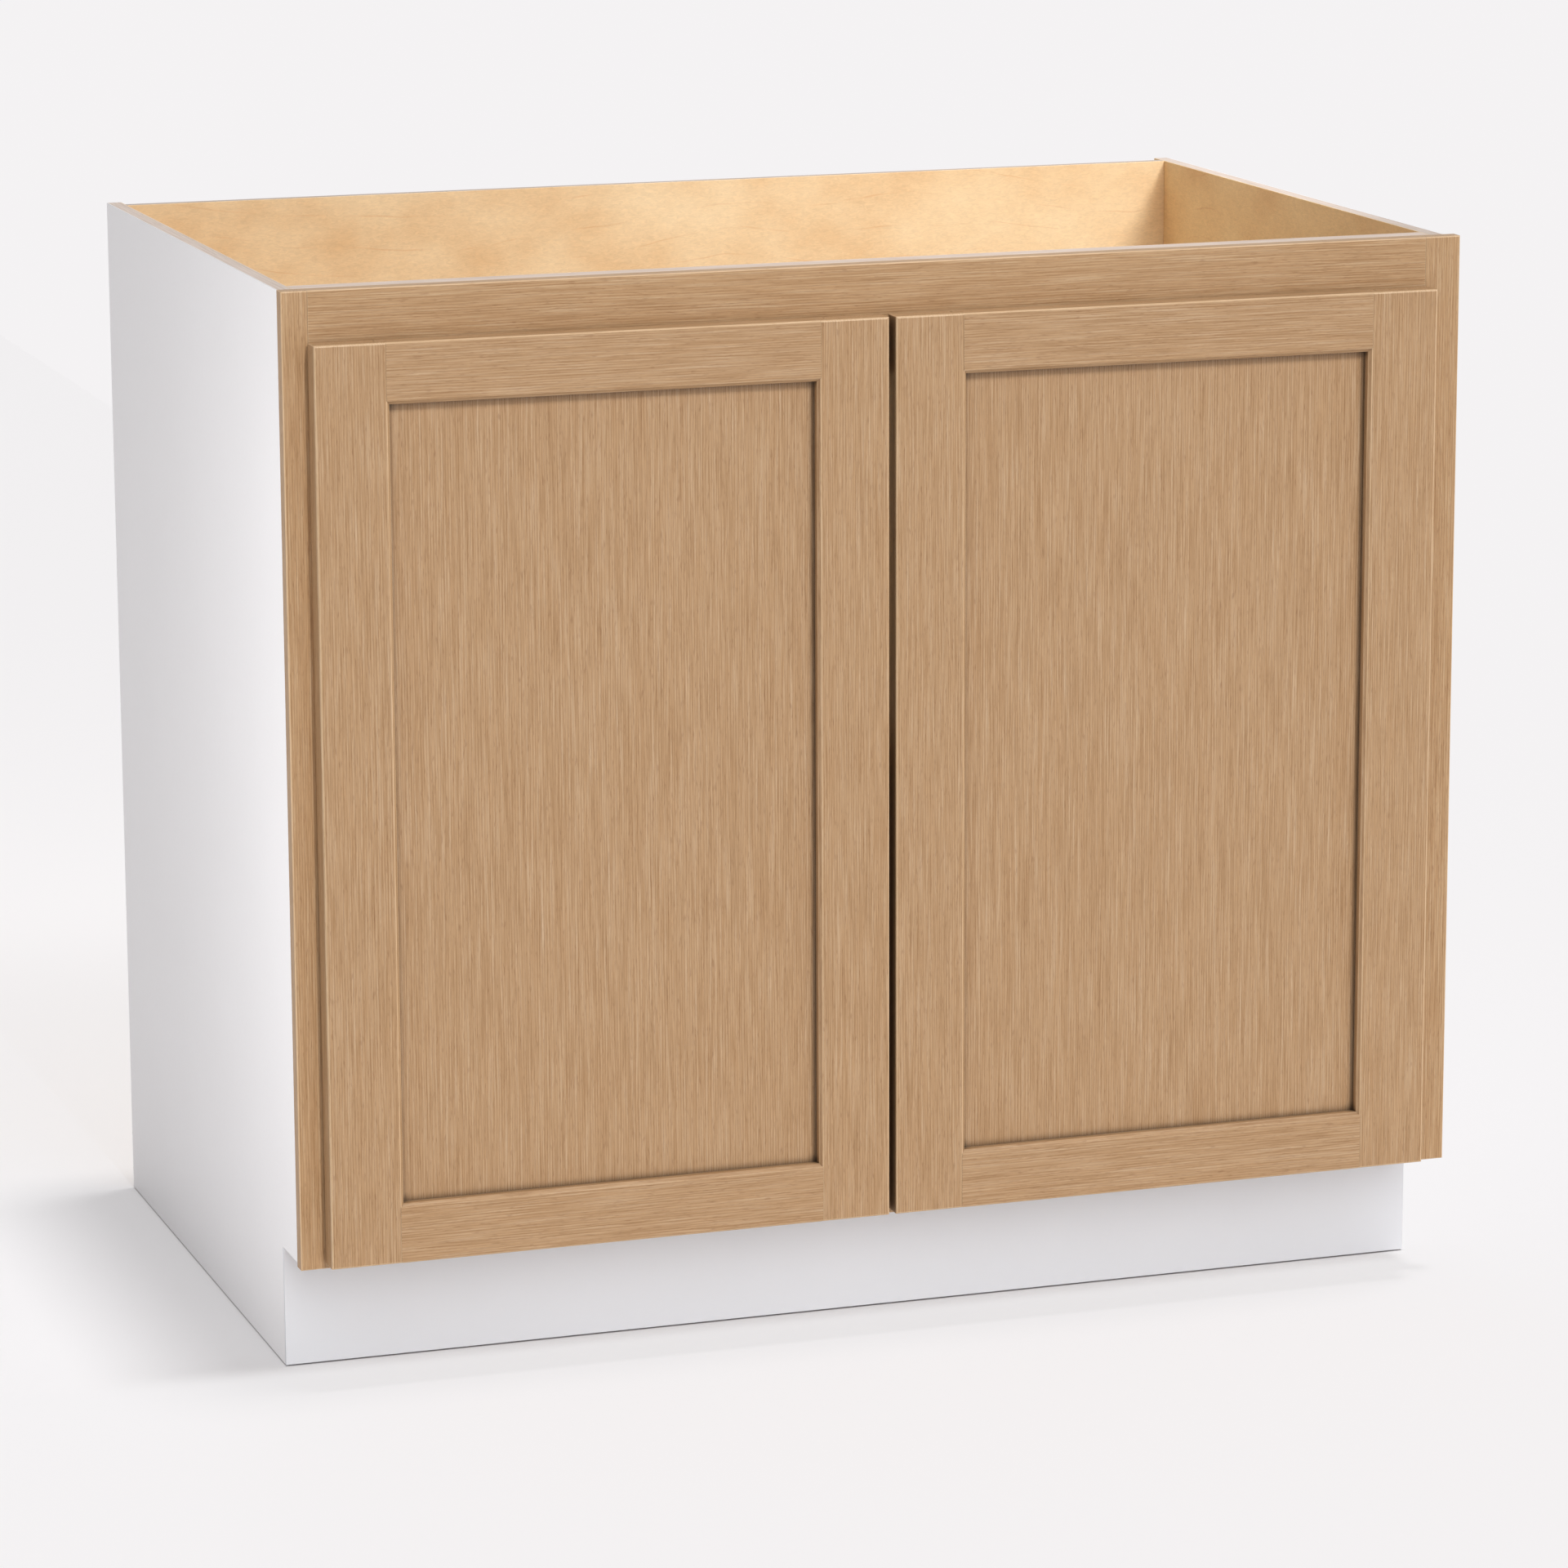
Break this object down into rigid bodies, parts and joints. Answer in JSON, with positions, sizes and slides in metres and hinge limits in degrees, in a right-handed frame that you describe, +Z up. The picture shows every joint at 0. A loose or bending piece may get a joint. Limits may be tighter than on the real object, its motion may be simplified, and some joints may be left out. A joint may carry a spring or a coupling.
{
  "type": "kitchen base cabinet",
  "caption": "Face-frame kitchen base cabinet with an open top, full-height recessed-panel oak doors on concealed hinges, an adjustable shelf and a recessed white toe kick.",
  "frame": {"origin": "centre of the footprint, closed doors included, on the floor", "axes": "+X to the right seen from the front, +Y to the rear, +Z up; the doors face -Y"},
  "size_m": [0.9906, 0.6316, 0.8763],
  "materials": {
    "white_panel": "matte white laminate on plywood",
    "oak": "satin rift-cut oak",
    "maple": "satin clear-coated maple plywood",
    "plywood": "matte unfinished plywood",
    "beech": "matte beech",
    "steel": "nickel-plated",
    "soft_plastic": "translucent soft plastic"
  },
  "bodies": {
    "cabinet": {"left_side": "white_panel", "right_side": "white_panel", "toe_skin": "white_panel", "left_stile": "oak", "right_stile": "oak", "top_rail": "oak", "bottom_rail": "oak", "cabinet_floor": "maple", "back_panel": "maple", "shelf": "maple", "front_stretcher": "plywood", "top_hang_rail": "plywood", "bottom_hang_rail": "plywood", "rear_support": "plywood", "toe_board": "plywood", "frame_dowels": "beech", "carcass_dowels": "beech", "shelf_pins": "steel", "back_screws": "steel", "stretcher_screws": "steel", "left_hinge_arms": "steel", "right_hinge_arms": "steel", "hinge_plate_screws": "steel"},
    "left_door": {"left_door_hinge_stile": "oak", "left_door_lock_stile": "oak", "left_door_top_rail": "oak", "left_door_bottom_rail": "oak", "left_door_panel": "oak", "left_hinge_cups": "steel", "left_hinge_pins": "steel", "left_cup_screws": "steel", "left_door_bumpers": "soft_plastic"},
    "right_door": {"right_door_hinge_stile": "oak", "right_door_lock_stile": "oak", "right_door_top_rail": "oak", "right_door_bottom_rail": "oak", "right_door_panel": "oak", "right_hinge_cups": "steel", "right_hinge_pins": "steel", "right_cup_screws": "steel", "right_door_bumpers": "soft_plastic"}
  },
  "joints": [
    {"name": "left_door", "type": "hinge", "parent": "cabinet", "child": "left_door", "pos_m": [-0.4689, -0.3056, 0.46815], "axis": [0, 0, -1], "range_deg": [0, 105]},
    {"name": "right_door", "type": "hinge", "parent": "cabinet", "child": "right_door", "pos_m": [0.4594, -0.3056, 0.46815], "axis": [0, 0, 1], "range_deg": [0, 105]}
  ]
}
